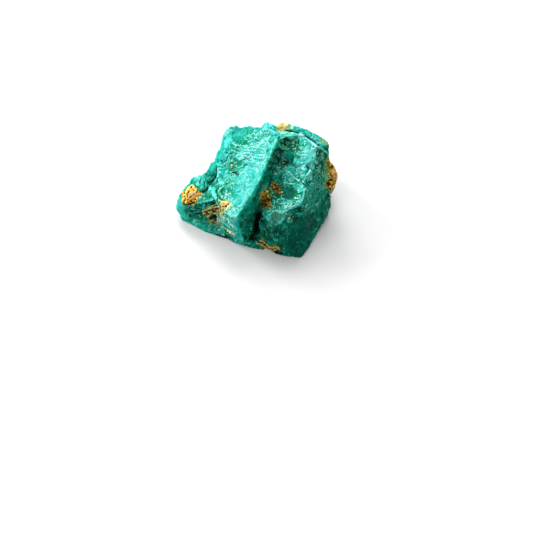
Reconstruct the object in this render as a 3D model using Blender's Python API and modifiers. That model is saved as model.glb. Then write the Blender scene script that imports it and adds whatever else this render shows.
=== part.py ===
"""A rough piece of chrysocolla, broken by hand: one solid lump of blue-green copper mineral.

The stone is split along sloping layers. A thick upper layer ends in a sharp ridge, and the lower layer runs
on beside it as a valley with a raised rim. A low corner block lies on the left, two broken steps climb from
it, a thin ledge runs along the back, and rusty knots of limonite sit in the hollows. The stone stands on
one flat break. X runs to the right, Y away and Z up.
"""

import bmesh
import bpy
import numpy as np
from mathutils import Matrix, Vector, noise

MM = 0.001

BODY_NAME = "chrysocolla_stone"
COLOUR = (0.045, 0.283, 0.191, 1.0)
ROUGHNESS = 0.62
VOXEL = 0.27 * MM
TRIANGLES = 8400
CUBE_SIDE = 60.0 * MM
UNEVEN = 0.3

# A block is the convex hull of its corners, in millimetres. Its foot reaches below the cut at zero.
UPPER_LAYER = {
    "ridge": [(5.25, 6.72, 19.18), (0.45, -2.9, 14.25), (-4.6, -9.2, 10.15), (-5.6, -8.7, 9.8)],
    "left edge": [(-8.9, -3.9, 9.5), (-8.6, 0.9, 11.0), (-8.8, 3.8, 11.8), (-7.5, 8.7, 13.75)],
    "far edge": [(-7.2, 11.4, 14.6), (-6.1, 12.1, 15.3), (-4.2, 11.9, 16.1), (-1.1, 10.7, 17.2), (3.3, 8.6, 18.7)],
    "wall foot in the valley": [(6.6, 5.0, 14.0), (4.2, 1.6, 12.6), (0.2, -5.0, 8.6), (-0.2, -6.5, 8.2)],
    "wall foot in front": [(-1.5, -8.7, -0.8), (-2.2, -9.6, -0.8), (-5.6, -8.3, -0.8)],
    "foot": [(5.0, 12.4, -0.8), (-9.0, 11.6, -0.8), (-9.8, -3.0, -0.8), (7.0, 3.0, -0.8)],
}
LOWER_LAYER = {
    "far rim": [(5.6, 7.6, 17.4), (7.2, 8.2, 17.9), (9.6, 7.4, 18.2), (11.3, 6.2, 18.1)],
    "rim over the right side": [(12.9, 4.3, 17.8), (11.9, 0.0, 15.9)],
    "rim over the front": [(10.0, -6.4, 12.8), (5.7, -7.9, 10.4), (1.2, -6.8, 8.7)],
    "small facet": [(4.4, -9.4, 7.9), (2.2, -8.7, 7.2)],
    "right side": [(15.6, 5.5, 13.8), (16.6, 0.0, 2.4), (15.8, 5.0, 9.0)],
    "foot in front": [(0.6, -9.2, -0.8), (4.6, -12.2, -0.8), (9.7, -13.0, -0.8), (10.5, -11.9, -0.8)],
    "foot on the right": [(15.4, -1.6, -0.8), (16.4, 6.0, -0.8)],
    "foot behind": [(13.0, 12.0, -0.8), (1.0, 12.6, -0.8), (0.0, 0.0, -0.8)],
    "inside the upper layer": [(0.4, -4.9, 8.9), (1.0, 6.0, 13.0)],
}
CORNER_BLOCK = {
    "top": [(-17.9, 2.9, 4.0), (-16.0, 3.9, 5.0), (-14.2, 4.4, 6.0), (-13.0, 4.9, 6.8), (-9.0, 6.0, 8.6)],
    "front edge": [(-16.6, -1.5, 4.6), (-13.6, -2.0, 5.6), (-11.9, -2.9, 6.4), (-9.0, -3.3, 8.5)],
    "left tip": [(-18.3, -0.9, 2.4), (-18.3, 1.4, 3.8)],
    "foot": [(-16.4, -2.9, -0.8), (-10.5, -6.4, -0.8), (-5.6, -8.3, -0.8), (-16.0, 3.5, -0.8), (-11.0, 8.5, -0.8)],
    "inside the upper layer": [(-4.0, -4.0, 0.0), (-4.0, 6.0, 0.0), (-4.0, -4.0, 7.0), (-4.0, 6.0, 8.0)],
}
UPPER_STEP = {
    "top": [(-7.3, 8.0, 12.6), (-8.4, 8.2, 12.2), (-8.9, 7.4, 11.8), (-9.2, 6.2, 11.2), (-8.8, 4.4, 11.0)],
    "foot": [(-10.0, 8.4, 5.0), (-6.0, 8.4, 5.0), (-10.4, 6.0, 5.0), (-9.4, 4.0, 5.0), (-6.0, 4.0, 8.0)],
}
LOWER_STEP = {
    "top": [(-9.1, 6.8, 10.4), (-10.3, 6.3, 9.8), (-10.8, 5.5, 9.2), (-10.9, 4.9, 8.6), (-8.8, 2.8, 10.2)],
    "foot": [(-11.8, 6.4, 3.0), (-7.0, 7.4, 3.0), (-12.0, 4.6, 3.0), (-9.6, 2.6, 6.0), (-7.0, 2.6, 6.0)],
}
BACK_LEDGE = {
    "top": [(3.0, 11.2, 16.5), (6.0, 11.8, 16.8), (8.6, 11.6, 16.4), (11.5, 10.8, 15.8), (13.9, 9.7, 15.0)],
    "right end": [(15.0, 9.1, 14.6), (15.8, 8.4, 14.2), (15.9, 7.7, 13.6), (15.5, 6.4, 14.0)],
    "under the rim": [(6.0, 7.0, 16.0), (12.0, 5.0, 15.2)],
    "foot": [(16.6, 6.5, -0.8), (14.2, 12.7, -0.8), (6.0, 14.4, -0.8), (-2.6, 14.0, -0.8), (6.0, 4.0, 0.0)],
}
FOOT_LEDGE = {
    "top": [(-4.4, -8.3, 2.2), (-2.2, -8.8, 1.9), (-0.2, -9.3, 1.2), (1.1, -9.7, 1.1)],
    "foot": [(-3.1, -9.4, -0.8), (-2.2, -10.0, -0.8), (0.0, -10.4, -0.8), (1.8, -11.2, -0.8)],
    "inside": [(-4.4, -6.0, -0.8), (4.0, -7.0, -0.8), (2.0, -7.0, 1.0), (-3.0, -6.0, 1.6)],
}
EDGE_FLAKE = {
    "top": [(-10.1, -0.4, 9.7), (-9.0, -0.1, 10.5), (-8.3, -0.8, 10.7), (-8.7, -3.8, 9.4), (-9.4, -2.8, 9.4)],
    "foot": [(-9.9, -0.6, 7.4), (-7.5, 0.0, 7.0), (-7.5, -3.4, 7.0), (-9.4, -3.0, 7.4)],
}
LUMP_BY_THE_PIT = {
    "top": [(-12.7, 2.0, 7.7), (-11.6, 3.3, 8.3), (-11.0, 2.0, 8.5), (-11.5, 0.4, 8.1), (-12.5, 0.6, 7.6)],
    "foot": [(-13.4, 2.2, 5.4), (-12.0, 4.0, 5.4), (-10.4, 3.0, 5.4), (-11.2, -0.4, 5.4), (-13.0, 0.2, 5.4)],
}
RIGHT_KNOT = {
    "outer edge": [(16.0, 4.7, 12.7), (16.8, 4.2, 12.2), (17.6, 2.9, 11.2), (18.1, 2.3, 10.3), (17.8, 1.4, 9.3)],
    "lower end": [(17.2, 0.7, 8.2), (16.9, 0.2, 7.0), (16.4, -0.3, 6.4)],
    "near side": [(15.4, 4.1, 12.4), (15.2, 2.9, 11.4), (15.3, 1.3, 9.8), (15.7, 0.0, 8.0)],
    "inside": [(14.6, 5.6, 11.0), (15.0, 4.0, 7.0), (17.0, 3.6, 8.6)],
}
LEFT_KNOT = {
    "top": [(-14.5, 2.6, 6.5), (-15.5, 1.2, 6.4), (-13.5, 1.1, 7.1), (-14.3, -0.2, 7.1), (-12.7, -0.6, 6.8)],
    "foot": [(-16.4, -0.1, 5.3), (-16.6, -1.3, 4.5), (-15.5, -2.1, 4.8), (-13.7, -1.8, 6.0), (-14.0, 1.0, 3.0)],
}
BLOCKS = {
    "lower_layer": LOWER_LAYER,
    "corner_block": CORNER_BLOCK,
    "upper_step": UPPER_STEP,
    "lower_step": LOWER_STEP,
    "back_ledge": BACK_LEDGE,
    "foot_ledge": FOOT_LEDGE,
    "edge_flake": EDGE_FLAKE,
    "lump_by_the_pit": LUMP_BY_THE_PIT,
    "right_knot": RIGHT_KNOT,
    "left_knot": LEFT_KNOT,
}

# A cutter is what lies past all of its breaks. A break is a flat through three points, in millimetres, and
# the fourth point lies on the side that has broken away.
CUTTERS = {
    "front_crack": {
        "left wall": [(-0.2, -6.5, 8.2), (-1.3, -8.4, 1.2), (1.0, -2.0, 8.2), (0.6, -6.5, 8.0)],
        "right wall": [(1.3, -6.9, 8.7), (0.0, -8.5, 1.0), (1.6, -2.0, 8.7), (0.6, -6.5, 8.0)],
        "far end": [(0.0, -4.2, 9.2), (2.0, -4.2, 9.2), (0.0, -5.0, 2.0), (0.6, -8.0, 6.0)],
        "bottom": [(-2.0, -9.0, 1.7), (2.0, -9.0, 1.2), (0.0, -3.0, 2.4), (0.6, -8.0, 6.0)],
    },
    "far_foot_break": {
        "undercut": [(-7.0, 12.6, 4.6), (9.0, 13.6, 2.4), (2.0, 10.6, -0.4), (0.0, 16.0, -2.0)],
    },
    "left_foot_break": {
        "undercut": [(-18.4, 2.6, 2.6), (-12.6, 7.6, 3.4), (-13.4, 2.8, -0.4), (-20.0, 8.0, -3.0)],
    },
    "right_foot_break": {
        "undercut": [(16.4, 1.0, 1.6), (15.6, 8.0, 2.6), (14.2, 4.0, -0.4), (20.0, 4.0, -2.0)],
    },
    "far_left_break": {
        "slope": [(-6.4, 12.6, 14.4), (-9.6, 8.8, 4.0), (-4.0, 14.4, 4.0), (-12.0, 16.0, 6.0)],
    },
    "far_right_break": {
        "slope": [(14.4, 11.0, 13.0), (13.4, 12.8, 2.0), (17.0, 8.6, 5.0), (20.0, 16.0, 6.0)],
    },
}

# A scoop is a shell-shaped break: where it lies, the way that it faces, its radius and its depth, in mm.
SCOOPS = {
    "far left corner": ((-3.9, 9.9, 15.4), (-0.42, -0.24, 0.88), 2.1, 0.45),
    "valley head": ((7.3, 6.4, 16.7), (-0.38, -0.3, 0.87), 2.1, 1.3),
    "valley hollow": ((5.9, 3.4, 14.8), (-0.38, -0.3, 0.87), 2.2, 1.2),
    "valley floor": ((6.4, -2.0, 12.8), (-0.38, -0.3, 0.87), 3.9, 0.7),
    "rim notch": ((11.5, 0.3, 15.6), (0.1, 0.0, 1.0), 0.9, 0.7),
    "rim bite": ((10.9, -3.4, 14.0), (0.6, -0.2, 0.6), 1.8, 0.7),
    "front": ((8.4, -9.8, 6.0), (0.3, -1.0, 0.35), 4.4, 0.5),
    "left pit": ((-10.2, 1.8, 8.6), (-0.2, -0.4, 1.0), 1.2, 2.2),
    "plate by the flake": ((-10.8, -1.2, 7.6), (-0.3, -0.2, 1.0), 1.4, 0.5),
    "pit in the front": ((-9.7, -5.1, 4.9), (-0.3, -1.0, 0.5), 1.0, 1.3),
    "hollow in the front": ((-10.0, -4.2, 6.8), (-0.1, -0.8, 0.6), 2.0, 0.8),
    "far side": ((8.0, 13.2, 8.6), (0.2, 1.0, 0.1), 4.2, 1.0),
    "far side, low": ((1.0, 13.6, 5.0), (0.0, 1.0, -0.1), 3.4, 0.9),
    "far left side": ((-8.8, 9.6, 6.0), (-0.9, 0.8, 0.2), 3.2, 0.8),
    "far left shoulder": ((-4.6, 12.6, 11.4), (-0.3, 1.0, 0.2), 2.6, 0.7),
    "right foot": ((16.4, 3.0, 4.6), (1.0, -0.1, -0.1), 2.6, 0.6),
}

# A rounded lump: where it sits and its half sizes, in mm.
LUMPS = {
    "far rim": ((5.8, 11.1, 16.6), (1.5, 0.9, 1.1)),
    "far lump": ((2.6, 10.7, 16.5), (1.5, 1.2, 1.2)),
    "under the far lump": ((2.7, 10.2, 14.6), (1.3, 1.0, 1.6)),
    "lump on the left edge": ((-13.6, 4.0, 5.6), (1.4, 1.2, 1.2)),
}


def clear_scene():
    for obj in list(bpy.data.objects):
        bpy.data.objects.remove(obj)


def new_collection(name, hidden=False):
    collection = bpy.data.collections.new(name)
    bpy.context.scene.collection.children.link(collection)
    collection.hide_render = hidden
    return collection


def stone_material():
    material = bpy.data.materials.new("chrysocolla")
    material.use_nodes = True
    shader = material.node_tree.nodes["Principled BSDF"]
    shader.inputs["Base Color"].default_value = COLOUR
    shader.inputs["Roughness"].default_value = ROUGHNESS
    shader.inputs["Metallic"].default_value = 0.0
    return material


def mesh_object(name, bm, collection):
    bmesh.ops.recalc_face_normals(bm, faces=bm.faces)
    mesh = bpy.data.meshes.new(name)
    bm.to_mesh(mesh)
    bm.free()
    obj = bpy.data.objects.new(name, mesh)
    collection.objects.link(obj)
    if collection.hide_render:
        obj.hide_render = True
        obj.display_type = "WIRE"
    return obj


def hull(name, corners, collection):
    """The convex hull of a block's corners."""
    bm = bmesh.new()
    for group in corners.values():
        for corner in group:
            bm.verts.new(Vector(corner) * MM)
    bmesh.ops.convex_hull(bm, input=bm.verts)
    buried = [v for v in bm.verts if not v.link_faces]
    bmesh.ops.delete(bm, geom=buried, context="VERTS")
    return mesh_object(name, bm, collection)


def cut_away(bm, origin, normal):
    """Drops what lies on the normal's side of a plane, and closes the cut."""
    geometry = bm.verts[:] + bm.edges[:] + bm.faces[:]
    cut = bmesh.ops.bisect_plane(
        bm, geom=geometry, dist=1e-7, plane_co=origin, plane_no=normal, clear_outer=True
    )
    rim = [e for e in cut["geom_cut"] if isinstance(e, bmesh.types.BMEdge)]
    bmesh.ops.holes_fill(bm, edges=rim)


def wedge(name, breaks, collection):
    """A large cube, cut back to what lies past each break."""
    bm = bmesh.new()
    bmesh.ops.create_cube(bm, size=CUBE_SIDE)
    for points in breaks.values():
        a, b, c, away = (Vector(p) * MM for p in points)
        normal = (b - a).cross(c - a).normalized()
        if (away - a).dot(normal) > 0:
            normal.negate()
        cut_away(bm, a, normal)
    return mesh_object(name, bm, collection)


def ball(name, centre, half_sizes, facing, collection):
    """A ball with uneven sides, squashed along the way that it faces."""
    bm = bmesh.new()
    bmesh.ops.create_icosphere(bm, subdivisions=3, radius=1.0)
    for vertex in bm.verts:
        vertex.co *= 1.0 + UNEVEN * noise.noise(vertex.co * 1.6 + Vector(centre))
    turn = Vector(facing).to_track_quat("Z", "Y").to_matrix().to_4x4()
    size = Matrix.Diagonal(Vector(half_sizes) * MM).to_4x4()
    bm.transform(Matrix.Translation(Vector(centre) * MM) @ turn @ size)
    return mesh_object(name, bm, collection)


def scoop(name, place, facing, radius, depth, collection):
    """A lens that dips into the stone by its depth, from the side that the scoop faces."""
    centre = Vector(place) + Vector(facing).normalized() * depth
    return ball(name, centre, (1.15 * radius, 1.15 * radius, 2 * depth), facing, collection)


def combine(body, other, operation):
    modifier = body.modifiers.new(other.name, "BOOLEAN")
    modifier.operation = operation
    modifier.solver = "EXACT"
    modifier.object = other


def freeze(obj):
    """Applies the object's modifiers."""
    graph = bpy.context.evaluated_depsgraph_get()
    mesh = bpy.data.meshes.new_from_object(obj.evaluated_get(graph))
    obj.modifiers.clear()
    obj.data = mesh


def chip(point, size, tilt):
    """How far a point stands out or in where the surface is made of small flat breaks of about that size."""
    _, cells = noise.voronoi(point / size)
    cell = cells[0]
    lean = noise.cell_vector(cell * 50.0) - Vector((0.5, 0.5, 0.5))
    return (point / size - cell).dot(lean) * size * tilt


def outward(mesh):
    """The way out of the stone at each point of an all-quad mesh."""
    points = np.array([v.co for v in mesh.vertices])
    quads = np.array([p.vertices[:] for p in mesh.polygons])
    across = points[quads[:, 2:]] - points[quads[:, :2]]
    normals = np.cross(across[:, 0], across[:, 1])
    total = np.zeros_like(points)
    for corner in quads.T:
        np.add.at(total, corner, normals)
    return total / np.linalg.norm(total, axis=1, keepdims=True)


def roughen(obj):
    """Gives the smooth blocks the chips and swellings of broken stone."""
    for vertex, direction in zip(obj.data.vertices, outward(obj.data)):
        point = vertex.co.copy()
        swell = noise.fractal(point / (7.0 * MM), 1.0, 2.0, 4) * 0.16 * MM
        large = chip(point, 3.6 * MM, 0.06)
        small = chip(point, 1.6 * MM, 0.09)
        vertex.co = point + Vector(direction) * (swell + large + small)


def stand_flat(obj):
    """Cuts the foot to one flat, and puts the middle of the stone's box over the origin."""
    bm = bmesh.new()
    bm.from_mesh(obj.data)
    cut_away(bm, Vector((0, 0, 0)), Vector((0, 0, -1)))
    low = Vector(min(v.co[i] for v in bm.verts) for i in range(3))
    high = Vector(max(v.co[i] for v in bm.verts) for i in range(3))
    middle = (low + high) / 2
    bmesh.ops.translate(bm, verts=bm.verts, vec=(-middle.x, -middle.y, -low.z))
    bmesh.ops.triangulate(bm, faces=bm.faces)
    bm.to_mesh(obj.data)
    bm.free()


def main():
    clear_scene()
    stone = new_collection("chrysocolla specimen")
    helpers = new_collection("blocks and cutters", hidden=True)
    body = hull(BODY_NAME, UPPER_LAYER, stone)
    for name, corners in BLOCKS.items():
        combine(body, hull(name, corners, helpers), "UNION")
    for name, breaks in CUTTERS.items():
        combine(body, wedge(name, breaks, helpers), "DIFFERENCE")
    for name, (place, facing, radius, depth) in SCOOPS.items():
        combine(body, scoop(name, place, facing, radius, depth, helpers), "DIFFERENCE")
    for name, (centre, half_sizes) in LUMPS.items():
        combine(body, ball(name, centre, half_sizes, (0, 0, 1), helpers), "UNION")
    remesh = body.modifiers.new("even grain", "REMESH")
    remesh.mode = "VOXEL"
    remesh.voxel_size = VOXEL
    freeze(body)
    roughen(body)
    decimate = body.modifiers.new("few faces", "DECIMATE")
    decimate.ratio = TRIANGLES / (2 * len(body.data.polygons))
    freeze(body)
    stand_flat(body)
    body.data.materials.clear()
    body.data.materials.append(stone_material())


main()
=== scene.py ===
"""Looks of the chrysocolla specimen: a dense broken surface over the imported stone, with its own material.

Places on the stone are given as they are seen: x and y are pixels of the 533 x 533 frame of the camera
below, laid on the solid along the line of sight. Radii, widths, heights and depths are in millimetres.
"""

import math

import bpy
import numpy as np
from mathutils import Euler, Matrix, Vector
from mathutils.bvhtree import BVHTree


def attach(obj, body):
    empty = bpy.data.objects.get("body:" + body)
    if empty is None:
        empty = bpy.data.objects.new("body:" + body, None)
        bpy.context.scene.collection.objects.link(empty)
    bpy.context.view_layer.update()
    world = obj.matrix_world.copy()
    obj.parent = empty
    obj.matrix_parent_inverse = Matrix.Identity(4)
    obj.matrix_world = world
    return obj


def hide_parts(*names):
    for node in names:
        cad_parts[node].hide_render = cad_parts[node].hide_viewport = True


MM = 0.001

# Camera: 55 degrees above the floor, straight on to the stone's long side (metres).
FRAME_PIXELS = 533
LENS_MM = 105.0
SENSOR_MM = 36.0
CAMERA_AT = (0.00231385, -0.21131535, 0.27961014)
CAMERA_TILT = math.radians(35.0)
TOWARDS_CAMERA = np.array(Vector(CAMERA_AT).normalized())

# Dense copy: its voxel, how often its facets are blurred, and the foot that keeps its shape (millimetres).
VOXEL_MM = 0.184
FACET_ROUNDS = 3
BASE_KEEP = (0.02, 0.45)
# Layers of the stone: the way they face, how thick they are, and the reach, size and seed of their waviness.
LAYER = np.array((-0.4152, -0.2420, 0.8770))
LAYER_STEP = 0.42
LAYER_WARP = ((0.30, 3.1, 1), (0.16, 1.2, 2), (0.06, 0.5, 3))
# Broken chips: size, tilt and seed.
CHIPS = ((2.4, 0.13, 41), (1.1, 0.15, 42))
# Blur rounds for the broad way a face looks, and for the close and the wide surroundings of a point.
BROAD_ROUNDS = 24
CLOSE_ROUNDS = 5
WIDE_ROUNDS = 60
# Heights over the close and the wide surroundings that count as 1 (millimetres).
EDGE_MM = 0.05
RIDGE_MM = 0.35

# Ochre crusts of limonite: how yellow each is (0 umber to 1 yellow), then its spots: x, y and radius.
OCHRE = {
    "left knot, top": (0.5, (190.5, 187, 0.9), (193, 188, 0.7)),
    "left knot": (0.53, (188, 190, 0.9), (187, 193, 1.5), (185, 199, 1.2)),
    "left knot, right": (0.47, (194, 194, 1.4), (191, 199, 1.3), (197, 195, 0.8)),
    "left knot, foot": (0.3, (184, 203, 0.6), (189, 203, 0.6), (193, 202, 0.5)),
    "front patch": (0.42, (226, 204.5, 0.8), (222, 208, 0.8), (223, 204, 0.9), (221, 213, 0.4)),
    "front stain": (0.24, (217, 209, 0.6), (213.5, 210, 0.6), (205, 212.5, 0.7), (208.5, 213, 0.6)),
    "front pit": (0.2, (213.5, 221, 0.7), (216, 222, 0.6)),
    "front streak": (0.8, (228, 231, 0.3), (230.5, 232.5, 0.35), (233.5, 234, 0.3)),
    "foot": (0.32, (264, 244, 0.7), (268, 247, 0.8), (273, 249, 0.7), (278, 249, 0.5), (262, 241.5, 0.4)),
    "valley, mustard": (0.5, (263, 193.5, 0.7), (266.5, 192.5, 0.5), (261.5, 198, 0.6)),
    "valley, lower": (0.24, (266, 199, 1.1), (264.5, 204, 1.0), (268.5, 202.5, 0.8)),
    "valley, upper": (0.21, (274.5, 185.5, 0.8), (277.5, 189.5, 0.8), (273.5, 189.5, 0.5),
        (279.5, 192, 0.4)),
    "far rim": (0.8, (281, 125, 0.8), (279.5, 127.5, 0.6), (286, 125.5, 0.6), (284, 127.5, 0.5)),
    "spot": (0.46, (232, 165.5, 0.2), (231.3, 167.5, 0.16)),
    "right knot": (0.46, (332, 166, 0.6), (334.5, 171, 0.9), (335.5, 176, 1.0), (331, 175, 0.7)),
    "right knot, high": (0.36, (329, 163, 0.7), (331, 167, 0.6), (327.5, 164, 0.4)),
    "right knot, low": (0.42, (333, 181, 1.0), (330, 184, 1.0), (333, 187, 0.7), (330, 188.5, 0.6)),
}
# Pinkish-brown crust in the middle of the ochre: spots.
PINKISH = {
    "left knot": ((193.5, 195, 0.9), (196, 196, 0.5)),
    "right knot": ((334.5, 171.5, 0.45), (335, 177, 0.4)),
}
# Yellow-green crust round the ochre: how pale it is, then its spots.
MOSS = {
    "right knot": (0.33, (328, 161, 0.9), (327.5, 167, 1.0), (328.5, 174, 1.1), (330, 179, 1.1),
        (332, 191, 0.8), (328, 184, 1.0), (329, 188, 0.8)),
    "patch rim": (0.42, (230.5, 205, 0.4), (229, 207.5, 0.35), (227, 210, 0.35), (225, 212.5, 0.35)),
    "front": (0.1, (209, 210, 0.8), (212, 212, 0.9), (207, 216, 0.6), (215, 208, 0.6), (218, 213, 0.8),
        (221, 218, 0.6), (210, 222, 0.6), (219, 224, 0.7)),
    "valley": (0.22, (264.5, 189, 0.9), (261.5, 194, 0.9), (261, 199, 0.8), (262, 206, 0.7)),
    "valley, dark": (0.0, (268, 207, 0.8), (271.5, 194, 0.6), (269.5, 189, 0.5), (266, 187.5, 0.6)),
    "small facet": (0.8, (276.5, 217, 0.9), (279.5, 216, 0.6), (273.5, 221, 0.7), (274, 215.5, 0.5)),
    "right of the facet": (0.0, (290, 216, 0.3), (292, 219, 0.25), (288, 218.5, 0.25)),
    "valley head": (0.6, (278.5, 142.5, 0.6), (280, 145, 0.4), (290, 136, 0.6), (279, 139, 0.5)),
    "far rim": (1.0, (286, 129, 0.7), (282, 130, 0.8), (278, 130.5, 0.6), (291, 127, 0.5)),
    "corner": (0.28, (323, 141, 0.6), (326.5, 143.5, 0.6), (320, 138.5, 0.4)),
    "foot": (0.05, (262, 238, 0.6), (261, 245, 0.5), (276, 246, 0.6)),
}
# Pale bloom, the chalky weathered skin: spots.
BLOOM = {
    "upper layer": ((240, 160, 3.0), (252, 158, 3.0), (262, 150, 2.4), (246, 172, 3.2), (256, 172, 2.4),
        (240, 184, 2.6), (248, 186, 2.4), (238, 198, 2.4), (236, 208, 2.0), (230, 212, 1.4),
        (258, 140, 2.6), (268, 136, 2.0), (222, 176, 1.0)),
    "lower layer": ((308, 143, 1.3), (309, 152, 1.4), (303, 157, 1.1), (299, 164, 1.2), (308, 162, 1.0),
        (290, 205, 1.4), (282, 206, 1.4), (275, 206, 1.0), (298, 203, 0.8)),
    "front": ((226, 220, 1.0), (229, 226, 1.0), (232, 228, 0.8), (222, 224, 0.7), (234, 222, 0.6)),
    "left": ((206, 198, 0.9), (203, 196, 0.9), (199, 201, 0.8), (211, 191, 0.5), (204, 182, 0.9),
        (184, 193, 0.8)),
    "flecks": ((316, 197, 0.9), (313, 203, 0.9), (287, 217, 0.9), (290, 214, 0.6), (320, 174, 0.6)),
}
# Glassy turquoise places: how pale each is, then its spots.
TURQUOISE = {
    "left steps": (0.1, (221, 153, 0.9), (220, 158, 0.8), (213, 166, 0.8), (211, 170, 0.8),
        (216, 163, 0.6)),
    "knob": (0.25, (242, 129, 1.4), (236, 128, 0.7), (240, 133, 1.0), (234, 134, 0.6)),
    "knob, left": (0.75, (226, 134, 0.8), (226, 140, 0.8), (230, 130, 0.5), (225, 145, 0.5),
        (235, 127.5, 0.5)),
    "far lump": (0.95, (268, 126, 1.2), (272, 127, 0.7), (265, 128, 0.6)),
    "far dots": (0.3, (274, 136, 0.6), (253, 148, 0.5)),
    "lower layer": (0.75, (307, 148, 0.45), (304, 149.5, 0.4), (300.5, 147, 0.3), (297.5, 139, 0.3)),
    "left edge": (0.2, (180, 207, 0.9), (179, 211, 0.8), (181, 203, 0.6), (179, 200, 0.6)),
    "left lump": (0.8, (198, 178, 0.8), (196, 181.5, 0.6), (201, 175.5, 0.5)),
    "left flake": (0.6, (212.5, 190.5, 0.8), (213, 185.5, 0.7), (214.7, 195.5, 0.6), (210, 189.5, 0.5)),
    "facet rim": (0.4, (269, 215, 0.5), (268, 219, 0.5), (283, 219, 0.4), (280, 222, 0.5), (236, 229, 0.6),
        (238, 232, 0.5)),
    "notch": (0.0, (307.5, 167, 0.5), (307.5, 170.5, 0.5), (306, 173.5, 0.35)),
    "valley disc": (0.0, (291, 155, 0.95)),
    "valley glass": (0.2, (285.5, 176, 0.7), (290.5, 177.5, 0.8), (296.5, 186, 0.9), (301, 188, 0.8),
        (286, 172, 0.5)),
}
# Calm places, where the fine lines are faint: spots.
CALM = {
    "front right": ((300, 236, 4.2), (306, 245, 2.6), (296, 247, 2.4), (307, 222, 2.8), (320, 210, 2.0)),
    "knob": ((242, 132, 1.8), (238, 136, 1.2)),
    "left step": ((219, 157, 1.4), (212, 169, 1.2)),
    "wall": ((258, 190, 1.6), (250, 207, 1.8), (265, 173, 1.6)),
    "left edge": ((180, 205, 1.6),),
    "disc": ((291, 155, 1.0),),
    "small facet": ((276, 218, 1.1),),
    "valley": ((288, 194, 1.6), (282, 186, 0.8), (272, 178, 1.0)),
}
# Small grape-like beads at the head of the valley: spots.
BEADS = (
    (286.5, 144, 1.7), (293, 143, 1.6), (280, 160, 1.9), (285, 158, 1.7), (288, 149, 1.4), (295, 149, 1.0),
    (276, 166, 1.6), (285, 165, 1.2), (278, 151, 1.6), (274, 158, 1.4), (271, 164, 1.2),
)
# Single cream grains: spots.
GRAINS = (
    (295, 198, 0.17), (297.3, 198, 0.15), (282, 192, 0.14), (275.5, 174, 0.15), (288, 172, 0.14),
    (283.5, 162.5, 0.13), (285.5, 177.5, 0.11), (281, 172, 0.1), (297, 170, 0.1), (299, 180, 0.12),
    (291.5, 183.5, 0.13), (298, 190, 0.14), (293, 143, 0.11), (295.5, 148.5, 0.13), (303, 138, 0.15),
    (334, 172, 0.17), (333.5, 186.5, 0.13), (258.5, 181, 0.1), (236, 162, 0.1), (233, 156.5, 0.12),
    (238, 153, 0.1), (246, 149, 0.1), (230.5, 172, 0.13), (232.5, 175.5, 0.13), (227, 171, 0.1),
    (262, 219, 0.1), (264, 229, 0.11), (267, 232, 0.1), (305.5, 232, 0.1), (308, 226, 0.09),
    (286, 214, 0.13), (289, 218, 0.14), (292, 221, 0.1), (274, 187, 0.1), (246, 217.5, 0.09),
    (243, 221, 0.09), (231.5, 129.7, 0.12), (233, 143, 0.1), (235.5, 146, 0.1), (200, 197, 0.14),
    (189, 196, 0.12), (258, 163, 0.12), (256.5, 134, 0.11), (260, 131, 0.11),
)
# Dark pits: x, y, radius and depth; their near-black is partly painted shade in the hole.
PITS = (
    (214, 217.5, 0.5, 0.3), (216, 217, 0.5, 0.4), (215.5, 219.5, 0.4, 0.3), (196.5, 192, 0.25, 0.2),
    (195, 186.5, 0.22, 0.2), (222.5, 210.5, 0.26, 0.3), (220, 206.5, 0.26, 0.2), (224.5, 204, 0.2, 0.15),
    (219, 203.7, 0.2, 0.15), (222.7, 206.3, 0.16, 0.15), (226.5, 207, 0.16, 0.15),
    (224, 209.3, 0.16, 0.15), (216, 209.3, 0.22, 0.2), (213.5, 211.7, 0.2, 0.2), (209.3, 210.7, 0.2, 0.2),
    (205.5, 211.3, 0.16, 0.15), (218.5, 209, 0.18, 0.2), (220.3, 211.5, 0.16, 0.15),
    (211.5, 210.3, 0.22, 0.15), (207, 212.5, 0.26, 0.2), (191.5, 187, 0.35, 0.3), (194, 190.5, 0.22, 0.2),
    (187.5, 197, 0.2, 0.2), (191.5, 201.5, 0.25, 0.2), (184.5, 196.5, 0.16, 0.15), (189, 192, 0.18, 0.15),
    (190, 197.5, 0.25, 0.25), (184.5, 200.5, 0.25, 0.25), (195.5, 199.5, 0.25, 0.2),
    (184, 203.5, 0.3, 0.2), (284, 162, 0.25, 0.2), (284.5, 150, 0.22, 0.2), (285.5, 145, 0.22, 0.2),
    (273.5, 163, 0.25, 0.2), (295, 143, 0.22, 0.2), (279, 165.5, 0.35, 0.25), (288, 140, 0.2, 0.15),
    (276.5, 155.5, 0.2, 0.15), (262.5, 204.5, 0.4, 0.25), (277.5, 188.5, 0.25, 0.2),
    (265.3, 244.8, 0.25, 0.25), (268.5, 248, 0.25, 0.2), (273, 248.8, 0.2, 0.2), (332, 166.5, 0.35, 0.25),
    (328.5, 184, 0.5, 0.25),
)
# Swellings and hollows of the outline: x, y, radius and height.
BULGES = (
    (186, 191, 1.3, 0.55), (182, 196, 1.2, 0.4), (187.5, 187, 0.8, 0.3), (203, 175, 0.8, 0.15),
    (210, 166, 0.8, 0.15), (318, 136, 0.9, 0.15), (327, 146, 0.9, 0.15), (336, 178, 0.8, 0.15),
    (329, 197, 1.0, 0.35), (225, 141, 1.1, -0.3), (266, 124, 0.7, -0.25), (259, 130, 0.7, -0.2),
    (272, 250, 1.0, 0.2), (265, 248, 1.0, 0.15),
)
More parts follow.
